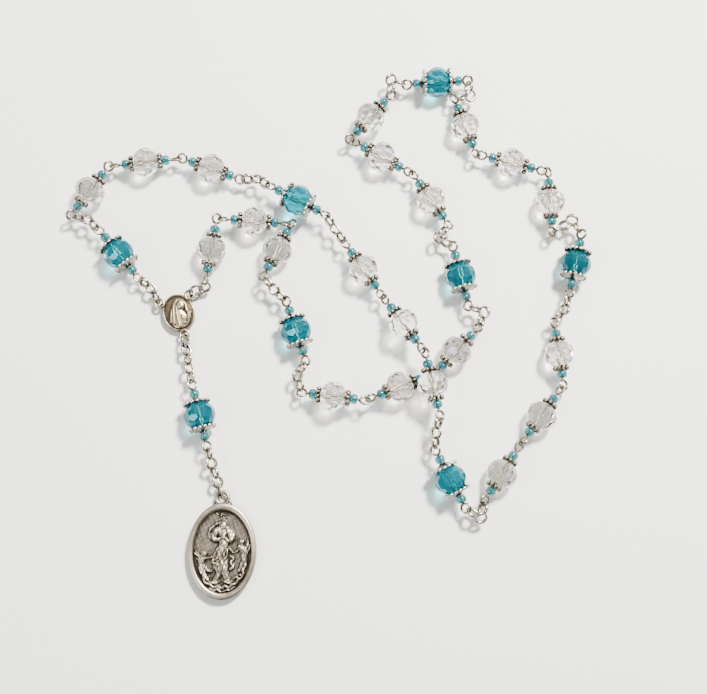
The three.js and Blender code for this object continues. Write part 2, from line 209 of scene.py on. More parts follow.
# ---------------------------------------------------------------- materials
class Nodes:
    """A short way to write a material's nodes."""

    def __init__(self, name):
        self.material = bpy.data.materials.new(name)
        self.material.use_nodes = True
        self.tree = self.material.node_tree
        self.shader = self.tree.nodes["Principled BSDF"]
        self.output = self.tree.nodes["Material Output"]

    def add(self, kind, **values):
        """A new node. A value sets a property of it, or else the input of that name."""
        node = self.tree.nodes.new("ShaderNode" + kind)
        for key, value in values.items():
            if hasattr(node, key):
                setattr(node, key, value)
            else:
                node.inputs[key.replace("_", " ")].default_value = value
        return node

    def link(self, source, target):
        self.tree.links.new(source, target)

    def noise(self, scale, detail=4.0):
        place = self.add("TexCoord")
        noise = self.add("TexNoise", Scale=scale, Detail=detail, Roughness=0.55)
        self.link(place.outputs["Object"], noise.inputs["Vector"])
        return noise.outputs["Fac"]

    def ramp(self, value, stops):
        ramp = self.add("ValToRGB")
        elements = ramp.color_ramp.elements
        while len(elements) < len(stops):
            elements.new(0.5)
        for element, (place, colour) in zip(elements, stops):
            element.position = place
            element.color = (*colour, 1)
        self.link(value, ramp.inputs["Fac"])
        return ramp.outputs["Color"]

    def maths(self, operation, a, b):
        node = self.add("Math", operation=operation)
        for socket, value in zip(node.inputs, (a, b)):
            if isinstance(value, (int, float)):
                socket.default_value = value
            else:
                self.link(value, socket)
        return node.outputs["Value"]

    def bump(self, value, distance):
        bump = self.add("Bump", Distance=distance * MM)
        self.link(value, bump.inputs["Height"])
        self.link(bump.outputs["Normal"], self.shader.inputs["Normal"])

    def set(self, **values):
        for key, value in values.items():
            self.shader.inputs[key.replace("_", " ")].default_value = value


METAL_BUMP = 0.02  # millimetres
BULGE_START = 0.58  # the Pointiness from which a part counts as bulging and gets a painted highlight
RELIEF_HIGHLIGHT = 0.16  # how much brighter the top of a relief is painted, a painted highlight


def metal(name, bright, dark, shine, shade_reach, grain=900, field=None, wear=0.0):
    """Plated or antiqued metal: painted shade in the recesses, painted highlight on high parts.

    shine is the roughness of its smoothest parts, and shade_reach is how near, in millimetres, a
    wall has to be for painted shade to darken it. field gives the heights in millimetres where a
    relief turns from painted shade to painted highlight, and how dark its low ground is painted.
    wear is how much brighter the bulging parts are painted than the flat ones."""
    m = Nodes(name)
    m.set(Metallic=1.0)
    # Ambient occlusion darkens the colour wherever a wall is near: painted shade in recesses and
    # between parts.
    painted_shade = m.add("AmbientOcclusion", samples=6, Distance=shade_reach * MM)
    cloud = m.maths("MULTIPLY", m.maths("SUBTRACT", m.noise(grain), 0.5), 0.4)
    level = m.maths("ADD", painted_shade.outputs["AO"], cloud)
    # Pointiness paints bulging parts brighter and hollows darker: painted highlight on granules
    # and rims, painted shade in hollows.
    if wear:
        bulge = m.maths("SUBTRACT", m.add("NewGeometry").outputs["Pointiness"], BULGE_START)
        level = m.maths("ADD", level, m.maths("MULTIPLY", bulge, wear))
    # The low ground of a relief is painted darker and its high parts brighter: painted shade and
    # painted highlight.
    if field:
        place = m.add("TexCoord")
        parts = m.add("SeparateXYZ")
        m.link(place.outputs["Object"], parts.inputs["Vector"])
        height = m.add("MapRange")
        height.inputs["From Min"].default_value = field[0] * MM
        height.inputs["From Max"].default_value = field[1] * MM
        height.inputs["To Min"].default_value = -field[2]
        height.inputs["To Max"].default_value = RELIEF_HIGHLIGHT
        m.link(parts.outputs["Z"], height.inputs["Value"])
        level = m.maths("ADD", level, height.outputs["Result"])
    # dark is the colour of painted shade, bright that of open parts, which painted highlights
    # lift further.
    middle = tuple(0.42 * b + 0.58 * d for b, d in zip(bright, dark))
    shades = [(0.40, dark), (0.72, middle), (0.95, bright)]
    m.link(m.ramp(level, shades), m.shader.inputs["Base Color"])
    rough = m.ramp(m.noise(grain * 2.3), [(0.3, (shine,) * 3), (0.75, (shine + 0.16,) * 3)])
    m.link(rough, m.shader.inputs["Roughness"])
    m.bump(m.noise(grain * 3.1, 6), METAL_BUMP)
    return m.material


# Where, by Layer Weight's Facing, the bright spot in a bead's shadow ends and its rim starts
SPOT_END = 0.020
RIM_START = 0.050


def glass(name, tint, ior, roughness, clarity, shadow, film=0.0, streaks=0.03,
          shine=(1.0, 1.0, 1.0)):
    """Pressed glass. A lamp shines on through it, more through its middle than its rim.

    shadow is how much of the lamp's light gets through its middle and its rim. film is the
    thickness of its iridescent coat in nanometres, and streaks the height of its ripples in
    millimetres."""
    m = Nodes(name)
    m.set(Transmission_Weight=clarity, IOR=ior, Roughness=roughness)
    m.set(Thin_Film_Thickness=film, Thin_Film_IOR=1.6, Specular_Tint=(*shine, 1))
    dim = tuple(c * 0.93 for c in tint)
    m.link(m.ramp(m.noise(260), [(0.35, dim), (0.65, tint)]), m.shader.inputs["Base Color"])
    m.bump(m.noise(420, 2), streaks)
    path = m.add("LightPath")
    through = m.add("BsdfTransparent")
    rim = m.add("LayerWeight", Blend=0.35)
    lit = m.ramp(rim.outputs["Facing"], [(SPOT_END, shadow[0]), (RIM_START, shadow[1])])
    m.link(lit, through.inputs["Color"])
    mix = m.add("MixShader")
    m.link(path.outputs["Is Shadow Ray"], mix.inputs[0])
    m.link(m.shader.outputs["BSDF"], mix.inputs[1])
    m.link(through.outputs["BSDF"], mix.inputs[2])
    m.link(mix.outputs["Shader"], m.output.inputs["Surface"])
    return m.material


def floor_material():
    m = Nodes("floor_paper")
    m.set(Roughness=0.75, Specular_IOR_Level=0.25)
    pale = m.ramp(m.noise(9, 3), [(0.3, (0.875, 0.860, 0.822)), (0.7, (0.90, 0.886, 0.846))])
    m.link(pale, m.shader.inputs["Base Color"])
    m.bump(m.noise(700, 5), 0.02)
    return m.material


CRYSTAL = glass("clear_crystal", (0.97, 0.955, 0.93), 1.72, 0.0, 0.97,
                ((1.30, 1.30, 1.28), (0.24, 0.233, 0.228)), film=450, streaks=0.01)
TEAL = glass("teal_glass", (0.009, 0.27, 0.34), 1.6, 0.0, 0.88,
             ((0.55, 0.98, 1.04), (0.24, 0.285, 0.30)), streaks=0.01, shine=(0.25, 0.75, 0.88))
SEED = glass("aqua_seed_glass", (0.05, 0.24, 0.265), 1.5, 0.04, 0.75,
             ((0.60, 0.68, 0.69), (0.42, 0.46, 0.46)))
# Each metal below carries painted shade in its recesses; the caps add a painted highlight on
# their granules, the two castings a painted highlight on their high relief.
SILVER = metal("silver_wire", (0.50, 0.435, 0.355), (0.03, 0.024, 0.018), 0.19, 1.2)
PIN_SILVER = metal("pin_wire", (0.38, 0.315, 0.245), (0.03, 0.024, 0.018), 0.20, 1.4)
CAP_SILVER = metal("cap_silver", (0.74, 0.67, 0.58), (0.02, 0.016, 0.012), 0.16, 1.2, wear=5.0)
PEWTER_BEADS = metal("spacer_pewter", (0.32, 0.262, 0.195), (0.014, 0.011, 0.008), 0.20, 1.5)
STEEL = metal("dark_jump_ring", (0.24, 0.22, 0.20), (0.03, 0.03, 0.03), 0.18, 0.5)
CENTRE_METAL = metal("antique_silver", (0.48, 0.39, 0.25), (0.06, 0.045, 0.027), 0.28, 0.9, 700,
                     field=(1.85, 2.7, 0.42))
MEDAL_METAL = metal("antique_pewter", (0.43, 0.365, 0.285), (0.028, 0.022, 0.016), 0.31, 2.3, 250,
                    field=(1.75, 2.5, 0.22))


# ---------------------------------------------------------------- shapes
class Shape:
    """Points and faces in millimetres, before they are placed."""

    def __init__(self, points, faces, smooth=True):
        self.points = np.asarray(points, float)
        self.faces = [tuple(int(i) for i in face) for face in faces]
        self.smooth = smooth

    def moved(self, matrix):
        m = np.array(matrix)
        return Shape(self.points @ m[:3, :3].T + m[:3, 3], self.faces, self.smooth)

    def __add__(self, other):
        shift = len(self.points)
        faces = self.faces + [tuple(i + shift for i in face) for face in other.faces]
        return Shape(np.vstack([self.points, other.points]), faces, self.smooth)


def grid_faces(rows, columns, close_rows=False):
    """Quads between rows of points. Each row is a closed ring of that many columns."""
    faces = []
    for r in range(rows if close_rows else rows - 1):
        for c in range(columns):
            d = (c + 1) % columns
            s = (r + 1) % rows
            faces.append((r * columns + c, r * columns + d, s * columns + d, s * columns + c))
    return faces


def end_faces(rows, columns):
    """The two faces that close rows of points at their first and last ring."""
    last = (rows - 1) * columns
    return [tuple(range(columns - 1, -1, -1)), tuple(range(last, last + columns))]


def revolve(profile, steps, closed=False):
    """Turns a profile of (along, radius) about X. A closed profile joins up with itself."""
    points = []
    for along, radius in profile:
        for k in range(steps):
            angle = 2 * math.pi * k / steps
            points.append((along, radius * math.cos(angle), radius * math.sin(angle)))
    faces = grid_faces(len(profile), steps, closed)
    if not closed:
        faces += end_faces(len(profile), steps)
    return Shape(points, [face[::-1] for face in faces])


DOME_LENGTH = 0.5  # of a wire's domed end, in wire radii
DOME_TIP = 0.55


def swept(path, radius, sides, closed=False):
    """A round wire along a path, closed on itself or with domed ends.

    radius is one number, or one for each point of the path."""
    path = np.asarray(path, float)
    count = len(path)
    radii = np.broadcast_to(radius, count)
    if closed:
        ahead = np.roll(path, -1, 0) - np.roll(path, 1, 0)
    else:
        ahead = np.gradient(path, axis=0)
    ahead /= np.linalg.norm(ahead, axis=1)[:, None]
    side = np.cross(ahead[0], (0.3, 0.5, 0.81))
    turn = np.linspace(0, 2 * math.pi, sides, endpoint=False)[:, None]
    rings = []
    for i in range(count):
        side = side - ahead[i] * side.dot(ahead[i])
        side /= np.linalg.norm(side)
        over = np.cross(ahead[i], side)
        thick = radii[i]
        reach = ahead[i] * thick * DOME_LENGTH
        spots = [(path[i], thick)]
        if not closed and i == 0:
            spots.insert(0, (path[i] - reach, thick * DOME_TIP))
        if not closed and i == count - 1:
            spots.append((path[i] + reach, thick * DOME_TIP))
        for centre, size in spots:
            rings.append(centre + size * (np.cos(turn) * side + np.sin(turn) * over))
    faces = grid_faces(len(rings), sides, closed)
    if not closed:
        faces += end_faces(len(rings), sides)
    return Shape(np.vstack(rings), faces)


def circle_path(radius, steps, start=0.0, sweep=360.0):
    """Points round a flat circle, or round an arc of it in degrees."""
    turn = np.radians(start + np.linspace(0, sweep, steps, endpoint=sweep < 360))
    return np.stack([radius * np.cos(turn), radius * np.sin(turn), 0 * turn], 1)


def ball(centre, size, rings, steps):
    """An ellipsoid with tiny flats for poles, for granules and other small domes."""
    rows = []
    for i in range(1, rings):
        angle = math.pi * i / rings
        rows.append((size[0] * math.cos(angle), math.sin(angle)))
    shape = revolve([(size[0] * 0.999, 0.05)] + rows + [(-size[0] * 0.999, 0.05)], steps)
    shape.points[:, 1] *= size[1]
    shape.points[:, 2] *= size[2]
    shape.points += np.asarray(centre)
    return shape


def about_x(angle):
    return Matrix.Rotation(angle, 4, "X")


DRILL_REACH = 5  # past both ends of any bead
GEM_BLANK = 12.0  # side of the cube that a gem is cut from
GEM_FACETS = 11  # in each row


def bored(shape, radius):
    """The shape with a round hole drilled through it along X."""
    drill = revolve([(-DRILL_REACH, radius), (DRILL_REACH, radius)], 16)
    objects = []
    for part in (shape, drill):
        mesh = bpy.data.meshes.new("temporary")
        mesh.from_pydata(part.points.tolist(), [], part.faces)
        obj = bpy.data.objects.new("temporary", mesh)
        bpy.context.scene.collection.objects.link(obj)
        objects.append(obj)
    cut = objects[0].modifiers.new("drill", "BOOLEAN")
    cut.object = objects[1]
    cut.operation = "DIFFERENCE"
    cut.solver = "EXACT"
    graph = bpy.context.evaluated_depsgraph_get()
    made = objects[0].evaluated_get(graph).to_mesh()
    points = [tuple(v.co) for v in made.vertices]
    faces = [tuple(p.vertices) for p in made.polygons]
    for obj in objects:
        bpy.data.objects.remove(obj)
    return Shape(points, faces, smooth=False)


def cut_gem(rows, half):
    """A solid cut by flat facets, as long as twice half. A row is (latitude, turn, distance)."""
    bm = bmesh.new()
    bmesh.ops.create_cube(bm, size=GEM_BLANK)
    planes = [(Vector((side, 0, 0)), half) for side in (-1, 1)]
    for latitude, turn, distance in rows:
        rise = math.radians(latitude)
        for k in range(GEM_FACETS):
            angle = 2 * math.pi * (k + turn) / GEM_FACETS
            flat = math.cos(rise)
            normal = Vector((math.sin(rise), flat * math.cos(angle), flat * math.sin(angle)))
            planes.append((normal, distance))
    for normal, distance in planes:
        geometry = bm.verts[:] + bm.edges[:] + bm.faces[:]
        cut = bmesh.ops.bisect_plane(
            bm, geom=geometry, dist=1e-5, plane_co=normal * distance, plane_no=normal,
            clear_outer=True)
        edges = [e for e in cut["geom_cut"] if isinstance(e, bmesh.types.BMEdge)]
        if edges:
            bmesh.ops.contextual_create(bm, geom=edges)
    bmesh.ops.remove_doubles(bm, verts=bm.verts[:], dist=1e-4)
    bmesh.ops.recalc_face_normals(bm, faces=bm.faces[:])
    bm.verts.index_update()
    points = [tuple(v.co) for v in bm.verts]
    faces = [tuple(v.index for v in f.verts) for f in bm.faces]
    bm.free()
    return Shape(points, faces, smooth=False)


def clear_bead():
    """Cut crystal, 8 mm across, with six rows of eleven facets and a drilled hole."""
    rows = [(side * tilt, turn, far) for side in (-1, 1)
            for tilt, turn, far in ((14, 0.25 * side, 3.82), (40, 0, 3.74), (63, 0.5, 3.56))]
    return bored(cut_gem(rows, 3.15), 0.5)


def teal_bead():
    """Cut teal glass, a little longer, with taller facets round its middle."""
    rows = [(side * tilt, turn, far) for side in (-1, 1)
            for tilt, turn, far in ((9, 0, 3.96), (34, 0.5, 3.90), (58, 0, 3.78))]
    return bored(cut_gem(rows, 3.4), 0.62)


def seed_bead():
    """A pressed seed bead: a fat ring with a round hole."""
    steps = 14
    profile = []
    for k in range(steps):
        angle = 2 * math.pi * k / steps
        profile.append((0.92 * math.cos(angle), 0.88 + 0.48 * math.sin(angle)))
    return revolve(profile, 18, closed=True)


def daisy_spacer():
    """A thin ring of ten granules, as a daisy spacer is cast."""
    granules = 10
    core = [(-0.38, 0.5), (0.38, 0.5), (0.30, 1.6), (-0.30, 1.6)]
    whole = revolve(core, 24, closed=True)
    for k in range(granules):
        turn = about_x(2 * math.pi * k / granules)
        whole = whole + ball((0, 1.70, 0), (0.66, 0.52, 0.46), 6, 10).moved(turn)
    return whole


# A cap's outline: how far in from its collar, and how far out, from the hole to the edge
CAP_CURVE = ((0.0, 0.30, 0.72, 1.02, 1.20, 1.30), (0.45, 0.95, 1.75, 2.55, 3.10, 3.42))
CAP_PETALS = 8
CAP_GRANULES = 16
# A petal's half width at parts of its length
PETAL_WIDTH = ((0.0, 0.25, 0.6, 0.85, 0.97, 1.0), (0.34, 0.50, 0.92, 1.14, 0.95, 0.40))
PETAL_THICK = 0.34


def petal():
    """One cupped petal, from the collar out to its turned-up tip, raised along both edges."""
    rows, columns = 14, 9
    around = np.linspace(-1, 1, columns)
    spots = np.linspace(0, 1, len(CAP_CURVE[0]))
    layers = []
    for skin in (1, -1):
        for t in np.linspace(0, 1, rows):
            along = np.interp(t, spots, CAP_CURVE[0])
            radius = np.interp(t, spots, CAP_CURVE[1])
            width = np.interp(t, *PETAL_WIDTH)
            cup = 0.16 * np.abs(around) ** 2 - 0.10
            half = 0.5 * PETAL_THICK * np.sqrt(np.clip(1 - 0.9 * around ** 4, 0, 1))
            off = cup + skin * half
            turn = around * width / max(radius, 0.8)
            reach = radius + 0.75 * off
            layers.append(np.stack([along - 0.65 * off, reach * np.cos(turn),
                                    reach * np.sin(turn)], 1))
    faces = []
    count = rows * columns
    for r in range(rows - 1):
        for c in range(columns - 1):
            a = r * columns + c
            faces.append((a, a + 1, a + columns + 1, a + columns))
            faces.append((count + a, count + a + columns, count + a + columns + 1, count + a + 1))
    loop = list(range(columns))
    loop += [r * columns + columns - 1 for r in range(1, rows)]
    loop += [(rows - 1) * columns + c for c in range(columns - 2, -1, -1)]
    loop += [r * columns for r in range(rows - 2, 0, -1)]
    for a, b in zip(loop, loop[1:] + loop[:1]):
        faces.append((b, a, a + count, b + count))
    return Shape(np.vstack(layers), faces)


def bead_cap():
    """A flower-shaped cap: eight cupped petals round a collar, edged with granules."""
    shell = revolve([(0.34, 0.4), (0.52, 0.84), (0.94, 1.62), (1.12, 2.26),
                     (1.00, 2.30), (0.76, 1.70), (0.34, 0.92), (0.10, 0.4)], 40, closed=True)
    collar = swept(circle_path(0.66, 20), 0.2, 8, True).moved(
        Matrix.Rotation(math.pi / 2, 4, "Y"))
    whole = shell + collar
    leaf = petal()
    for k in range(CAP_PETALS):
        whole = whole + leaf.moved(about_x(2 * math.pi * k / CAP_PETALS))
    granule = ball((1.28, 3.42, 0), (0.46, 0.36, 0.50), 8, 12)
    for k in range(CAP_GRANULES):
        whole = whole + granule.moved(about_x(2 * math.pi * (k + 0.5) / CAP_GRANULES))
    return whole


def eye_pin(reach, first_stands, last_stands):
    """One wire with a turned loop at each end. A loop lies flat, or stands on edge."""
    stem_end = reach - EYE_RADIUS
    wire = swept([(-stem_end + 0.1, 0, 0), (0, 0, 0), (stem_end - 0.1, 0, 0)], PIN_WIRE, 12)
    for side, stands in ((-1, first_stands), (1, last_stands)):
        loop = swept(circle_path(EYE_RADIUS, 40, 188, 350), PIN_WIRE, 12)
        neck = swept([(-EYE_RADIUS - 0.45, 0, 0), (-EYE_RADIUS + 0.02, -0.12, 0)], PIN_WIRE, 12)
        eye = (loop + neck).moved(Matrix.Translation((reach, 0, 0)))
        if side < 0:
            eye = eye.moved(Matrix.Rotation(math.pi, 4, "Z"))
        if stands:
            eye = eye.moved(about_x(math.pi / 2))
        wire = wire + eye
    return wire


def link_shape():
    """An oval chain link, worn thin at the ends where it pulls on its neighbours."""
    path = circle_path(LINK_RADIUS, 40)
    across = (path[:, 1] / LINK_RADIUS) ** 2
    path[:, 1] *= LINK_SLIMNESS
    return swept(path, LINK_END_WIRE + (LINK_WIRE - LINK_END_WIRE) * across, 12, True)


def jump_ring(radius, wire):
    """A wire ring with its butted ends just apart."""
    return swept(circle_path(radius, 44, 128, 353), wire, 14)


# ---------------------------------------------------------------- pieces
def make_piece(name, shape, material, body, node):
    """Adds one piece to the scene, riding on a body in place of a CAD node."""
    mesh = bpy.data.meshes.new(name)
    mesh.from_pydata((shape.points * MM).tolist(), [], shape.faces)
    mesh.polygons.foreach_set("use_smooth", [shape.smooth] * len(mesh.polygons))
    mesh.validate()
    mesh.materials.append(material)
    piece = bpy.data.objects.new(name, mesh)
    bpy.context.scene.collection.objects.link(piece)
    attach(piece, body)
    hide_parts(node)


def basis(centre, along, roll=0.0):
    """A matrix that puts X along a direction, with Z as near up as it can be, then rolls it."""
    x = along.normalized()
    y = UP.cross(x).normalized()
    z = x.cross(y)
    turned = Matrix((x, y, z)).transposed().to_4x4()
    return Matrix.Translation(centre) @ turned @ about_x(roll)


# The joint that leads to each node, and the one that leads on from it along the strand
joint_to = {joint["child"]: joint for joint in frame["joints"]}
joint_from = {joint["parent"]: joint for joint in frame["joints"]
              if not joint["child"].endswith("_bead")}


LEANS = (-36, 34)  # how far one stretch of the strand after another rolls over, in degrees


def vertices_of(node):
    mesh = frame["nodes"][node].data
    flat = np.zeros(len(mesh.vertices) * 3)
    mesh.vertices.foreach_get("co", flat)
    return flat.reshape(-1, 3) / MM


def pivot_of(joint):
    return Vector(joint["pos_m"]) / MM


class Unit:
    """Where a bead unit lies: its middle, its direction along the strand, its two eyes and
    which of them stand on edge, and how far it leans over."""

    def __init__(self, node, reach):
        points = np.unique(vertices_of(node).round(4), axis=0)
        middle = (points.min(0) + points.max(0)) / 2
        axis = np.linalg.svd(points - points.mean(0), full_matrices=False)[2][0]
        turned = points[abs((points - middle) @ axis) < reach - EYE_RADIUS - 0.1]
        middle = turned.mean(0)
        axis = np.linalg.svd(turned - middle, full_matrices=False)[2][0]
        self.middle = Vector(middle)
        self.along = Vector(axis)
        start = pivot_of(joint_to[node])
        if (start - self.middle).dot(self.along) > 0:
            self.along = -self.along
        self.eyes = [self.middle + side * reach * self.along for side in (-1, 1)]
        self.matrix = basis(self.middle, self.along)
        local = (points - np.array(self.middle)) @ np.array(self.matrix.to_3x3())
        self.lean = math.radians(LEANS[int(node.split("_")[1]) % 2])
        self.stands = []
        for side in (-1, 1):
            eye = local[local[:, 0] * side > reach - 0.5]
            self.stands.append(bool(np.ptp(eye[:, 2]) > np.ptp(eye[:, 1])))

    def eye_near(self, point):
        return min(self.eyes, key=lambda eye: (eye - point).length)


SEED_SHAPE = seed_bead()
SPACER_SHAPE = daisy_spacer()
CLEAR_SHAPE = clear_bead()
TEAL_SHAPE = teal_bead()
CAP_SHAPE = bead_cap()
LINK_SHAPE = link_shape()
SPACER_PLACE = 3.85  # from a bead's middle along its pin, like the next three
CLEAR_SEED_PLACE = 5.4
TEAL_SEED_PLACE = 5.75
CAP_PLACE = 4.72
CLOSING_SAG = 1.24
LOOP_END = "clear_4_1"  # the loop of the strand is closed by links from chain_08 to its far eye
THREE_LINKS = 1.0  # two flat links further apart than this have another between them
LINK_WOBBLE = 0.12  # radians
spin = np.random.default_rng(4)


def rolled():
    """A seeded turn about the pin, so that no two beads show the same facets."""
    return about_x(spin.uniform(0, 2 * math.pi))


def part_maker(stem, node, unit):
    """A function that makes one piece of a bead unit, placed along and about its pin."""

    def part(name, shape, local, material, slot):
        make_piece(f"{stem}_{name}", shape.moved(unit.matrix @ local), material, node, node)

    return part


def make_clear_unit(node, unit):
    part = part_maker(node, node, unit)
    part("crystal", CLEAR_SHAPE, rolled(), CRYSTAL, "clear_glass")
    part("pin", eye_pin(CLEAR_REACH, *unit.stands), about_x(unit.lean), PIN_SILVER,
         "cap_silver")
    for side, end in ((-1, "a"), (1, "b")):
        spacer_at = Matrix.Translation((side * SPACER_PLACE, 0, 0)) @ rolled()
        seed_at = Matrix.Translation((side * CLEAR_SEED_PLACE, 0, 0)) @ rolled()
        part(f"spacer_{end}", SPACER_SHAPE, spacer_at, PEWTER_BEADS, "cap_silver")
        part(f"seed_{end}", SEED_SHAPE, seed_at, SEED, "teal_glass")


def make_teal_unit(node, unit):
    bead = node.replace("_pin", "_bead")
    stem = node.replace("_pin", "")
    part = part_maker(stem, node, unit)
    glass_shape = TEAL_SHAPE.moved(unit.matrix @ rolled())
    make_piece(f"{stem}_glass", glass_shape, TEAL, bead, bead)
    part("wire", eye_pin(TEAL_REACH, *unit.stands), about_x(unit.lean), PIN_SILVER,
         "cap_silver")
    for side, end in ((-1, "a"), (1, "b")):
        face_in = Matrix.Rotation(math.pi if side > 0 else 0, 4, "Z")
        cap_at = face_in @ Matrix.Translation((-CAP_PLACE, 0, 0)) @ rolled()
        seed_at = Matrix.Translation((side * TEAL_SEED_PLACE, 0, 0)) @ rolled()
        part(f"cap_{end}", CAP_SHAPE, cap_at, CAP_SILVER, "cap_silver")
        part(f"seed_{end}", SEED_SHAPE, seed_at, SEED, "teal_glass")


def hooked_link(eye, pivot):
    """The centre of the standing link hooked in an eye, and of the flat link after it."""
    along = (pivot - eye).normalized()
    return eye + along * EYE_TO_LINK, eye + along * BAR


def ring_centre(node):
    points = np.unique(vertices_of(node).round(4), axis=0)
    return Vector(points.mean(0))


def neighbours(chain):
    """The nodes before and after a chain. The last chain of the loop has none after it."""
    after = joint_from[chain]["child"] if chain in joint_from else None
    return joint_to[chain]["parent"], after


def closing_links(start, eye):
    """Two sagging links that join the last flat link of the loop to the eye across from it."""
    toward = (eye - start).normalized()
    near = math.sqrt(LINK_TO_LINK ** 2 - CLOSING_SAG ** 2)
    far = math.sqrt(EYE_TO_LINK ** 2 - CLOSING_SAG ** 2)
    first = start + toward * near - UP * CLOSING_SAG
    second = eye - toward * far - UP * CLOSING_SAG
    return [(first, second - start, 60), (second, eye - first, 120)]


def chain_links(chain, units):
    """Each link of a chain as (centre, direction, turn), worked out from its two ends."""
    before, after = neighbours(chain)
    pivot_in = pivot_of(joint_to[chain])
    links = []
    last = []
    if before in units:
        eye = units[before].eye_near(pivot_in)
        standing, flat_in = hooked_link(eye, pivot_in)
        links.append((standing, pivot_in - eye, 90))
    else:
        ring = ring_centre(before)
        outward = (pivot_in - ring).normalized()
        swings = joint_to[chain]["name"].endswith("_swing")
        flat_in = ring + outward * RING_TO_LINK if swings else pivot_in + outward * LINK_RADIUS
    flat_out = flat_in
    if after in units and not units[after].stands[0]:
        pivot_out = pivot_of(joint_from[chain])
        eye = units[after].eye_near(pivot_out)
        standing, flat_out = hooked_link(eye, pivot_out)
        last = [(standing, eye - pivot_out, 90)]
    elif after and after not in units:
        pivot_out = pivot_of(joint_from[chain])
        flat_out = pivot_out - (ring_centre(after) - pivot_out).normalized() * LINK_RADIUS
    elif not after:
        last = closing_links(flat_in, units[LOOP_END].eyes[1])
    onward = flat_out - flat_in
    if onward.length > THREE_LINKS:
        links += [(flat_in, onward, 0), (flat_in.lerp(flat_out, 0.5), onward, 90),
                  (flat_out, onward, 0)]
    else:
        start = links[0][0] if links else ring_centre(before)
        end = last[0][0] if last else flat_in
        links.append((flat_in.lerp(flat_out, 0.5), end - start, 0))
    return links + last


def make_chain(chain, units):
    before, after = neighbours(chain)
    lean = next(units[end].lean for end in (after, before) if end in units)
    for number, (centre, along, turn) in enumerate(chain_links(chain, units), 1):
        roll = lean + math.radians(turn) + spin.uniform(-LINK_WOBBLE, LINK_WOBBLE)
        shape = LINK_SHAPE.moved(basis(centre, along, roll))
        make_piece(f"{chain}_link_{number}", shape, SILVER, chain, chain)


# How far each jump ring leans over from upright, in degrees
RING_LEANS = {"jump_ring_left": 22, "jump_ring_right": 38, "jump_ring_pendant": 20,
              "jump_ring_medal": -18}


def make_jump_ring(node):
    centre = ring_centre(node)
    spokes = vertices_of(node) - np.array(centre)
    normal = Vector(np.linalg.svd(spokes, full_matrices=False)[2][2])
    along = normal.cross(UP)
    medal_end = node == "jump_ring_medal"
    radius = MEDAL_RING_RADIUS if medal_end else RING_RADIUS
    wire = MEDAL_RING_WIRE if medal_end else RING_WIRE
    roll = math.radians(90 + RING_LEANS[node])
    shape = jump_ring(radius, wire).moved(basis(centre, along, roll))
    material = SILVER if medal_end else STEEL
    make_piece(f"{node}_wire", shape, material, node, node)


# ---------------------------------------------------------------- relief
def oval_relief(size, height, top_inset, edge, rings, steps):
    """An oval plate whose top follows height(x, y). edge is (inset, level) going down."""
    half_w, half_h = size[0] / 2, size[1] / 2
    turn = np.linspace(0, 2 * math.pi, steps, endpoint=False)
    rows = []
    for i in range(1, rings + 1):
        part = i / rings
        x = (half_w - top_inset) * part * np.cos(turn)
        y = (half_h - top_inset) * part * np.sin(turn)
        rows.append(np.stack([x, y, height(x, y)], 1))
    for inset, level in edge:
        x = (half_w - inset) * np.cos(turn)
        y = (half_h - inset) * np.sin(turn)
        rows.append(np.stack([x, y, level + 0 * x], 1))
    points = np.vstack(rows + [[[0, 0, float(height(np.zeros(1), np.zeros(1))[0])]]])
    faces = grid_faces(len(rows), steps)
    last = (len(rows) - 1) * steps
    faces.append(tuple(range(last + steps - 1, last - 1, -1)))
    centre = len(points) - 1
    faces += [(centre, k, (k + 1) % steps) for k in range(steps)]
    flipped = [face if len(face) != 4 else face[::-1] for face in faces]
    return Shape(points, flipped)


def dome(x, y, cx, cy, rx, ry, height, turn=0.0, power=0.5):
    """A smooth mound, highest in the middle and nothing outside its oval."""
    c, s = math.cos(math.radians(turn)), math.sin(math.radians(turn))
    u = ((x - cx) * c + (y - cy) * s) / rx
    v = (-(x - cx) * s + (y - cy) * c) / ry
    return height * np.clip(1 - u * u - v * v, 0, None) ** power


def calm_face(x, y, cx, cy, half_w, half_h, height):
    """A plain face: eyes half way down, nose and mouth on even thirds below the brow."""
    face = dome(x, y, cx, cy, half_w, half_h, height)
    nose = dome(x, y, cx, cy - 0.14 * half_h, 0.13 * half_w, 0.26 * half_h, 0.16)
    brow = dome(x, y, cx, cy + 0.16 * half_h, 0.55 * half_w, 0.09 * half_h, 0.05)
    mouth = dome(x, y, cx, cy - 0.52 * half_h, 0.26 * half_w, 0.07 * half_h, 0.06)
    eyes = sum(dome(x, y, cx + side * 0.36 * half_w, cy, 0.17 * half_w, 0.1 * half_h, 0.07)
               for side in (-1, 1))
    sockets = sum(dome(x, y, cx + side * 0.36 * half_w, cy, 0.27 * half_w, 0.2 * half_h, 0.08)
                  for side in (-1, 1))
    return face + nose + brow + mouth - sockets + eyes


def curved(points, parts=4):
    """More points along a route, so that it bends smoothly through the given ones."""
    if len(points) < 3:
        return points
    ends = [points[0]] + list(points) + [points[-1]]
    smooth = []
    for a, b, c, d in zip(ends, ends[1:], ends[2:], ends[3:]):
        for k in range(parts):
            t = k / parts
            smooth.append(tuple(
                0.5 * (2 * q + (r - p) * t + (2 * p - 5 * q + 4 * r - w) * t * t
                       + (3 * q - p - 3 * r + w) * t ** 3)
                for p, q, r, w in zip(a, b, c, d)))
    return smooth + [points[-1]]


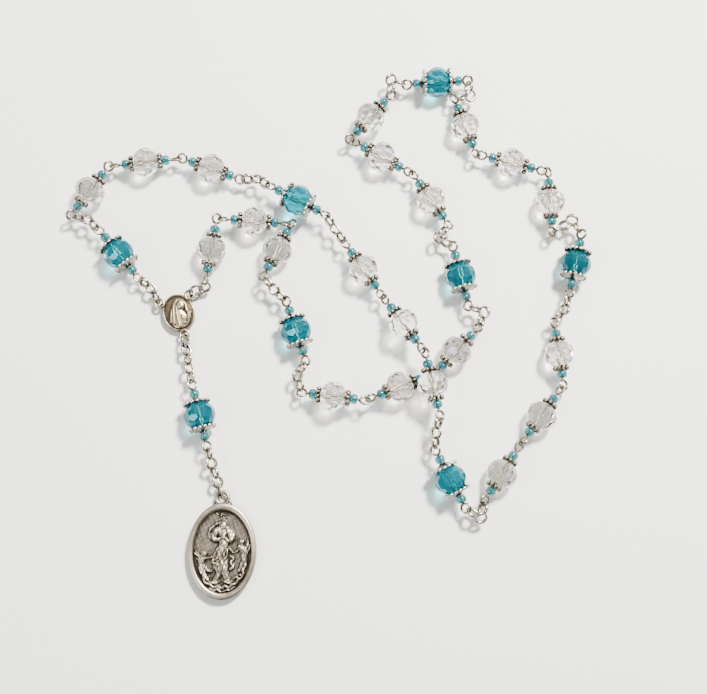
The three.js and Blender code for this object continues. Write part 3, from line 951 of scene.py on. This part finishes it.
def strokes(x, y, routes, blend=7, girth=1.0):
    """Rounded ridges run together. A route is its points, its two end radii and its height."""
    total = np.zeros_like(x)
    for route, first, last, height in routes:
        points = curved(route)
        steps = max(1, len(points) - 1)
        ridge = np.zeros_like(x)
        for k in range(steps):
            (ax, ay), (bx, by) = points[k], points[min(k + 1, len(points) - 1)]
            length = (bx - ax) ** 2 + (by - ay) ** 2 or 1
            t = np.clip(((x - ax) * (bx - ax) + (y - ay) * (by - ay)) / length, 0, 1)
            radius = girth * (first + (last - first) * (k + t) / steps)
            off = np.hypot(x - ax - t * (bx - ax), y - ay - t * (by - ay)) / radius
            ridge = np.maximum(ridge, height * np.clip(1 - off ** 2, 0, None) ** 0.5)
        total += ridge ** blend
    return total ** (1 / blend)


# The bust on the centrepiece: body, veil, shoulders and folded hands
BUST = [
    ([(0.1, 0.2), (-0.1, -0.9), (0.1, -2.7)], 1.20, 2.55, 0.52),
    ([(0.4, 3.3), (-0.7, 2.0), (-1.3, -0.2), (-1.8, -2.6)], 0.46, 0.62, 0.90),
    ([(-0.1, 1.5), (-0.4, -0.4), (-0.5, -3.6)], 0.36, 0.50, 0.88),
    ([(-1.5, 1.2), (-2.2, -0.8), (-2.5, -2.0)], 0.34, 0.40, 0.70),
    ([(1.8, 3.0), (2.4, 1.6), (2.3, 0.4), (2.8, -1.0)], 0.30, 0.50, 0.70),
    ([(2.7, -0.8), (2.2, -2.2), (1.2, -2.1)], 0.62, 0.52, 0.98),
    ([(1.0, -2.0), (0.8, -1.2)], 0.42, 0.34, 1.10),
    ([(0.4, -2.8), (1.3, -3.4), (2.1, -2.9)], 0.32, 0.32, 0.86),
]

# The standing figure on the medal
FIGURE = [
    ([(0.0, 7.4), (-1.4, 7.0), (-2.7, 6.0), (-3.4, 4.6), (-2.9, 3.3)], 0.30, 0.42, 0.55),
    ([(0.6, 6.7), (1.8, 5.7), (2.8, 4.6), (3.0, 3.3), (2.3, 2.3)], 0.32, 0.40, 0.52),
    ([(-1.2, 5.1), (0.2, 5.4), (1.5, 5.0)], 1.00, 1.00, 0.72),
    ([(-1.7, 5.0), (-2.3, 3.5), (-1.2, 2.9), (0.1, 3.7)], 0.78, 0.45, 0.95),
    ([(1.7, 5.0), (2.4, 3.3), (1.6, 2.7), (0.6, 3.5)], 0.78, 0.45, 0.95),
    ([(0.35, 4.1), (0.4, 3.4)], 0.42, 0.46, 1.15),
    ([(0.2, 4.5), (0.3, 2.0)], 0.95, 0.85, 0.80),
    ([(0.4, 1.8), (-0.3, -0.6), (-0.4, -3.4)], 0.95, 1.75, 0.82),
    ([(1.0, 1.4), (0.5, -1.0), (-1.7, -3.0)], 0.26, 0.30, 1.08),
    ([(0.6, 0.8), (-0.3, -1.0), (-2.1, -2.2)], 0.22, 0.26, 1.06),
    ([(1.4, 0.6), (1.1, -1.6), (-1.2, -3.6)], 0.26, 0.30, 1.04),
    ([(-0.7, 1.2), (-1.8, -0.5), (-2.3, -2.6), (-1.2, -3.3)], 0.30, 0.34, 1.02),
    ([(-0.3, -3.6), (-0.9, -5.8), (-2.0, -7.6)], 0.80, 0.62, 0.74),
    ([(0.4, -3.4), (0.9, -5.6), (1.6, -7.5)], 0.80, 0.66, 0.76),
    ([(0.1, -3.0), (-0.1, -4.9)], 0.50, 0.30, 0.98),
    ([(-0.9, -4.4), (-1.6, -6.9)], 0.20, 0.22, 0.92),
    ([(1.0, -4.2), (1.5, -6.8)], 0.20, 0.22, 0.94),
    ([(-2.8, -7.6), (-1.6, -8.0), (-0.7, -7.5)], 0.26, 0.30, 0.84),
    ([(0.7, -7.5), (1.8, -8.0), (2.6, -7.4)], 0.26, 0.30, 0.84),
    ([(-4.4, -1.5), (-3.2, -1.6), (-2.2, -1.0), (-1.4, 0.2)], 0.20, 0.24, 0.60),
    ([(1.3, 1.3), (2.1, 0.5), (2.9, -0.3), (3.9, 0.1), (4.7, 0.9)], 0.20, 0.24, 0.62),
    ([(2.2, -1.2), (2.9, -1.9), (2.2, -2.9), (2.8, -3.7), (2.2, -4.5)], 0.32, 0.38, 0.52),
]

# The two small winged attendants that hold the ribbon
ATTENDANTS = [
    ([(-4.6, -0.5), (-4.65, -0.7)], 0.72, 0.62, 0.98),
    ([(-5.0, -1.5), (-5.3, -3.2), (-4.8, -5.2), (-4.1, -6.7)], 0.74, 0.66, 0.76),
    ([(-4.7, -1.9), (-3.8, -1.6)], 0.30, 0.24, 0.90),
    ([(-4.7, -3.4), (-3.7, -4.6), (-2.8, -5.0)], 0.52, 0.30, 0.62),
    ([(-5.5, -2.2), (-5.7, -4.0), (-5.2, -5.6)], 0.22, 0.22, 0.95),
    ([(-4.8, -2.6), (-4.6, -4.4), (-4.0, -5.8)], 0.20, 0.22, 0.95),
    ([(-5.4, -1.5), (-6.3, -0.9), (-7.0, -0.4)], 0.42, 0.20, 0.52),
    ([(-5.7, -2.2), (-6.6, -1.7)], 0.34, 0.18, 0.45),
    ([(-4.4, -6.2), (-3.5, -7.2)], 0.42, 0.34, 0.72),
    ([(4.8, 2.4), (4.75, 2.2)], 0.72, 0.62, 0.98),
    ([(4.8, 1.2), (5.6, -0.2), (5.7, -2.0)], 0.70, 0.78, 0.78),
    ([(4.7, 0.9), (5.3, 0.3)], 0.30, 0.30, 0.96),
    ([(5.2, 0.0), (5.3, -1.6)], 0.20, 0.22, 0.95),
    ([(6.0, 0.2), (6.0, -1.8)], 0.20, 0.22, 0.95),
    ([(5.9, 0.6), (6.5, 1.7), (6.5, 2.7)], 0.46, 0.22, 0.56),
    ([(6.3, -0.4), (6.9, 0.6), (7.0, 1.5)], 0.32, 0.18, 0.46),
    ([(5.5, -2.0), (4.9, -3.6), (4.4, -4.9)], 0.46, 0.34, 0.76),
    ([(6.0, -2.0), (5.9, -3.6), (5.2, -5.0)], 0.42, 0.32, 0.72),
]

# The bird over the figure, with its light
BIRD = [
    ([(-0.1, 9.5), (-0.2, 8.9)], 0.38, 0.24, 0.75),
    ([(-1.7, 9.7), (-0.9, 9.2), (-0.2, 9.3)], 0.16, 0.22, 0.42),
    ([(1.9, 9.6), (1.0, 9.2), (0.1, 9.3)], 0.16, 0.22, 0.42),
    ([(-0.3, 8.5), (-0.2, 8.1)], 0.09, 0.07, 0.16),
    ([(-0.7, 8.6), (-0.9, 8.2)], 0.09, 0.07, 0.14),
    ([(0.2, 8.6), (0.4, 8.3)], 0.09, 0.07, 0.14),
]

# Rolling cloud under the feet
CLOUDS = [
    ([(-4.6, -6.8), (-4.2, -7.8), (-3.0, -8.2), (-2.2, -8.9), (-1.0, -8.6)], 0.42, 0.50, 0.72),
    ([(-1.0, -8.6), (-0.2, -9.2), (0.8, -8.6), (1.7, -9.0), (2.6, -8.3)], 0.50, 0.50, 0.70),
    ([(2.6, -8.3), (3.6, -8.0), (4.2, -7.0), (5.0, -6.6), (5.5, -5.4)], 0.48, 0.42, 0.72),
    ([(-3.2, -9.2), (-2.2, -9.8), (-1.2, -9.5), (-0.2, -10.2)], 0.38, 0.42, 0.58),
    ([(0.2, -10.1), (1.2, -9.7), (2.1, -9.7), (3.0, -9.0)], 0.40, 0.36, 0.56),
    ([(3.0, -6.9), (3.7, -6.4), (4.4, -6.9)], 0.32, 0.30, 0.66),
    ([(-3.3, -7.4), (-2.7, -7.9), (-2.2, -7.7)], 0.28, 0.26, 0.62),
    ([(4.4, -5.9), (5.1, -5.9)], 0.30, 0.30, 0.60),
]


def within(size, x, y):
    """How far out in an oval a point lies, from 0 to 1, and how far inside the edge."""
    half_w, half_h = size[0] / 2, size[1] / 2
    out = np.sqrt((x / half_w) ** 2 + (y / half_h) ** 2)
    return out, (1 - out) * half_w


CENTRE_RIM = 0.46  # width of the centrepiece's rim
MEDAL_RIM = 1.3


def centre_height(x, y):
    """The top of the centrepiece: a rim round a bust on a slightly domed ground."""
    out, edge = within(CENTRE_SIZE, x, y)
    rim = 1.74 + 0.20 * np.clip(1 - ((edge - 0.22) / 0.24) ** 2, 0, None) ** 0.5
    field = 1.60 + 0.25 * np.clip(1 - out ** 2, 0, None)
    veil = dome(x, y, 0.85, 2.0, 1.60, 1.90, 0.80)
    face = calm_face(x, y, 1.08, 1.92, 1.04, 1.34, 0.48)
    head = np.where(face > 0.06, face + 0.62, veil)
    bust = np.maximum(strokes(x, y, BUST), head)
    return np.where(edge < CENTRE_RIM, rim, field + bust * np.clip((edge - 0.44) / 0.2, 0, 1))


def medal_height(x, y):
    """The top of the medal: a rounded rim round a figure, two attendants, a bird and cloud."""
    edge = within(MEDAL_SIZE, x, y)[1]
    rim = 2.0 + 0.60 * np.clip(1 - ((edge - 0.64) / 0.68) ** 2, 0, None) ** 0.4
    veil = dome(x, y, 0.2, 6.6, 1.22, 1.42, 0.82)
    face = calm_face(x, y, 0.3, 6.5, 0.78, 1.04, 0.36)
    head = np.where(face > 0.05, face + 0.66, veil)
    drape = 0.07 * np.cos(5.5 * x + 2.1 * y) + 0.05 * np.cos(8.3 * x - 3.2 * y)
    figure = strokes(x, y, FIGURE, 5, 1.25)
    group = strokes(x, y, ATTENDANTS, 5, 1.32)
    relief = np.maximum.reduce([
        figure + drape * (figure > 0.4), group + drape * (group > 0.4),
        strokes(x, y, BIRD), head, strokes(x, y, CLOUDS, 4) + 0.5 * drape])
    inside = np.clip((edge - MEDAL_RIM) / 0.12, 0, 1)
    return np.where(edge < MEDAL_RIM, rim, MEDAL_FIELD + relief * inside)


def mount_at(name):
    for mount in frame["record"]["mounts"]:
        if mount["name"] == name:
            return Vector(mount["pos_m"]) / MM
    raise KeyError(name)


def lying_at(mount, turn):
    """A matrix that lays a casting on its back at a mount, turned on the table in degrees."""
    return Matrix.Translation(mount_at(mount)) @ Matrix.Rotation(math.radians(turn), 4, "Z")


def make_centrepiece():
    """The oval centrepiece with its veiled bust, and the three loops round it."""
    edge = [(0.0, 1.6), (0.0, 0.6), (0.4, 0.05), (0.6, 0.0)]
    whole = oval_relief(CENTRE_SIZE, centre_height, 0.02, edge, 90, 200)
    out_x, out_y = (across / 2 + LOOP_RADIUS - LOOP_INSET for across in CENTRE_SIZE)
    for turn in (SIDE_LOOP_TURN, -SIDE_LOOP_TURN, 180):
        angle = math.radians(90 + turn)
        place = Vector((out_x * math.cos(angle), out_y * math.sin(angle), LOOP_LEVEL))
        loop = swept(circle_path(LOOP_RADIUS, 36), LOOP_WIRE, 12, True)
        whole = whole + loop.moved(Matrix.Translation(place))
        neck = ball((place.x * 0.84, place.y * 0.84, 1.7), (0.75, 0.6, 0.45), 8, 12)
        whole = whole + neck
    at = lying_at("centrepiece_back", CENTRE_TURN)
    make_piece("centrepiece_cast", whole.moved(at), CENTRE_METAL, "centrepiece", "centrepiece")


def make_medal():
    """The oval medal and its bail, with the small triangular gaps beside the bail."""
    edge = [(0.0, 1.9), (0.0, 0.5), (0.3, 0.05), (0.6, 0.0)]
    body = oval_relief(MEDAL_SIZE, medal_height, 0.05, edge, 130, 420)
    bail = swept(circle_path(BAIL_RADIUS, 40), BAIL_WIRE, 14, True)
    whole = body + bail.moved(Matrix.Translation((0, BAIL_ABOVE_CENTRE, BAIL_LEVEL)))
    for side in (-1, 1):
        arm = [(side * 2.3, BAIL_ABOVE_CENTRE - 1.75, 1.5),
               (side * 1.95, BAIL_ABOVE_CENTRE - 0.9, BAIL_LEVEL),
               (side * 1.5, BAIL_ABOVE_CENTRE - 0.1, BAIL_LEVEL)]
        whole = whole + swept(arm, 0.3, 10)
    at = lying_at("medal_back", MEDAL_TURN)
    make_piece("medal_cast", whole.moved(at), MEDAL_METAL, "medal", "medal")


FLOOR_REACH = 3000
FLOOR_GAP = 0.01  # below the CAD's lowest point


def make_floor():
    mesh = bpy.data.meshes.new("floor")
    corners = [(-FLOOR_REACH, -FLOOR_REACH), (FLOOR_REACH, -FLOOR_REACH),
               (FLOOR_REACH, FLOOR_REACH), (-FLOOR_REACH, FLOOR_REACH)]
    mesh.from_pydata([(x * MM, y * MM, 0) for x, y in corners], [], [(0, 1, 2, 3)])
    mesh.materials.append(floor_material())
    floor = bpy.data.objects.new("floor", mesh)
    bpy.context.scene.collection.objects.link(floor)
    floor.location.z = CAD_BOX[0].z - FLOOR_GAP * MM


# ---------------------------------------------------------------- build
make_camera()
make_light()
make_floor()
units = {}
for node in frame["nodes"]:
    if node.startswith("clear_"):
        units[node] = Unit(node, CLEAR_REACH)
    if node.endswith("_pin"):
        units[node] = Unit(node, TEAL_REACH)
for node in sorted(frame["nodes"]):
    if node.startswith("clear_"):
        make_clear_unit(node, units[node])
    elif node.endswith("_pin"):
        make_teal_unit(node, units[node])
    elif node.startswith("chain_"):
        make_chain(node, units)
    elif node.startswith("jump_ring_"):
        make_jump_ring(node)
make_centrepiece()
make_medal()
